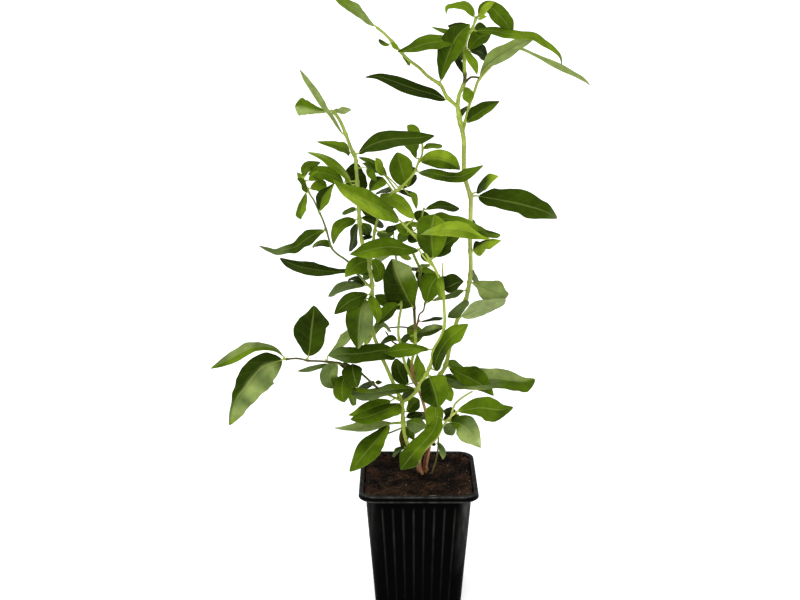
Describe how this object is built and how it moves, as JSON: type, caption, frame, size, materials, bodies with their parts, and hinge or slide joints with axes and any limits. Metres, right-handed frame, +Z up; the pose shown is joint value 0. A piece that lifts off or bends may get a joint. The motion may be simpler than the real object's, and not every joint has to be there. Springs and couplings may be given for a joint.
{
  "type": "potted blueberry bush",
  "caption": "Young blueberry bush with slender upright canes and narrow pointed leaves, standing in the soil of a square tapered nursery pot.",
  "frame": {"origin": "centre of the pot's underside, in the plane it stands on", "axes": "+Z up, out of the pot along the canes; +X to the plant's right as seen from the front; +Y away from the front"},
  "size_m": [0.2786, 0.1187, 0.4609],
  "materials": {
    "black_plastic": "satin moulded plastic",
    "peat": "damp crumbly peat",
    "left_cane_green": "leafy green stem",
    "middle_cane_green": "leafy red-brown stem",
    "tall_cane_green": "leafy green stem",
    "right_shoot_green": "leafy pale green stem",
    "small_shoot_green": "leafy green stem"
  },
  "bodies": {
    "root": {"pot": "black_plastic", "soil": "peat", "left_cane": "left_cane_green", "middle_cane": "middle_cane_green", "tall_cane": "tall_cane_green", "right_shoot": "right_shoot_green", "small_shoot": "small_shoot_green"}
  },
  "joints": []
}
